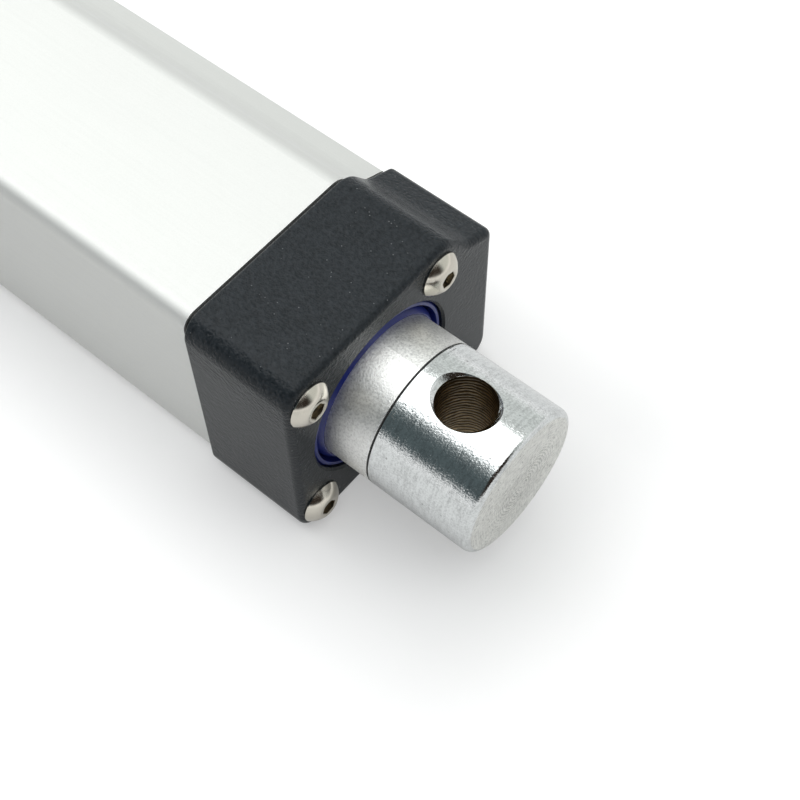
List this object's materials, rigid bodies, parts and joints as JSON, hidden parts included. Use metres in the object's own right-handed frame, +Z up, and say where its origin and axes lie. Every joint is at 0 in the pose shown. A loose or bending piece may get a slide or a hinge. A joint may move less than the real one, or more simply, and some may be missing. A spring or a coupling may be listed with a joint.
{
  "type": "waterproof linear actuator",
  "caption": "Right-angle electric linear actuator: sealed extruded tube with a side lobe, black cast cap, blue rod wiper, bright rod end with a cross hole, worm gear motor, rear pivot lug.",
  "frame": {"origin": "middle of the rear pivot hole, on the rod's axis", "axes": "+X along the rod toward the rod end, +Y toward the switch lobe, +Z up along both pivot holes"},
  "size_m": [0.2223, 0.1113, 0.0492],
  "materials": {
    "tube_aluminium": "satin anodised",
    "rod_aluminium": "satin, fine blasted grain",
    "black_coat": "black coat with a fine orange peel",
    "bright_plate": "bright plate with fine turning marks",
    "screw_steel": "polished stainless",
    "blue_seal": "smooth dark blue polyurethane",
    "black_rubber": "matte black",
    "machined_steel": "machined",
    "bronze": "turned",
    "copper_winding": "enamelled wire",
    "white_acetal": "smooth",
    "black_plastic": "fine grain",
    "green_board": "solder mask",
    "ferrite": "sintered"
  },
  "bodies": {
    "housing": {"outer_tube": "tube_aluminium", "front_cap": "black_coat", "gear_housing": "black_coat", "bearing_plate": "black_coat", "motor_cover": "black_coat", "cap_screws": "screw_steel", "tube_screws": "screw_steel", "plate_screws": "screw_steel", "cover_screws": "screw_steel", "wiper_seal": "blue_seal", "front_gasket": "black_rubber", "rear_gasket": "black_rubber", "housing_gasket": "black_rubber", "motor_gasket": "black_rubber", "motor_pad": "black_rubber", "gland_seal": "black_rubber", "motor_can": "machined_steel", "bearing_outer_race": "machined_steel", "bearing_shields": "machined_steel", "rear_bush": "bronze", "worm_bush": "bronze", "motor_front_bush": "bronze", "end_bell_bush": "bronze", "motor_terminals": "bronze", "guide_bush": "white_acetal", "end_bell": "black_plastic", "limit_switches": "black_plastic", "motor_brushes": "black_plastic", "gland_body": "black_plastic", "gland_nut": "black_plastic", "switch_board": "green_board", "motor_magnets": "ferrite"},
    "rod": {"rod_tube": "rod_aluminium", "rod_end": "bright_plate", "rod_end_ring": "black_rubber", "drive_nut": "bronze"},
    "screw": {"lead_screw": "machined_steel", "stop_washer": "screw_steel", "stop_nut": "screw_steel", "bearing_inner_race": "machined_steel", "bearing_balls": "machined_steel", "wheel_spacer": "machined_steel", "worm_wheel": "white_acetal", "wheel_key": "machined_steel"},
    "rotor": {"motor_shaft": "machined_steel", "motor_core": "machined_steel", "motor_windings": "copper_winding", "commutator": "bronze", "worm": "machined_steel"}
  },
  "joints": [
    {"name": "rotor_turn", "type": "hinge", "parent": "housing", "child": "rotor", "pos_m": [0.025, 0, 0.015], "axis": [0, 1, 0], "range_deg": [-180100, 100]},
    {"name": "screw_turn", "type": "hinge", "parent": "housing", "child": "screw", "pos_m": [0.025, 0, 0], "axis": [1, 0, 0], "range_deg": [-9005, 5]},
    {"name": "rod_slide", "type": "slide", "parent": "housing", "child": "rod", "axis": [1, 0, 0], "range_m": [0, 0.1]}
  ],
  "couplings": [
    {"joint": "screw_turn", "follows": "rod_slide", "rad_per_m": -1570.8},
    {"joint": "rotor_turn", "follows": "rod_slide", "rad_per_m": -31416}
  ]
}
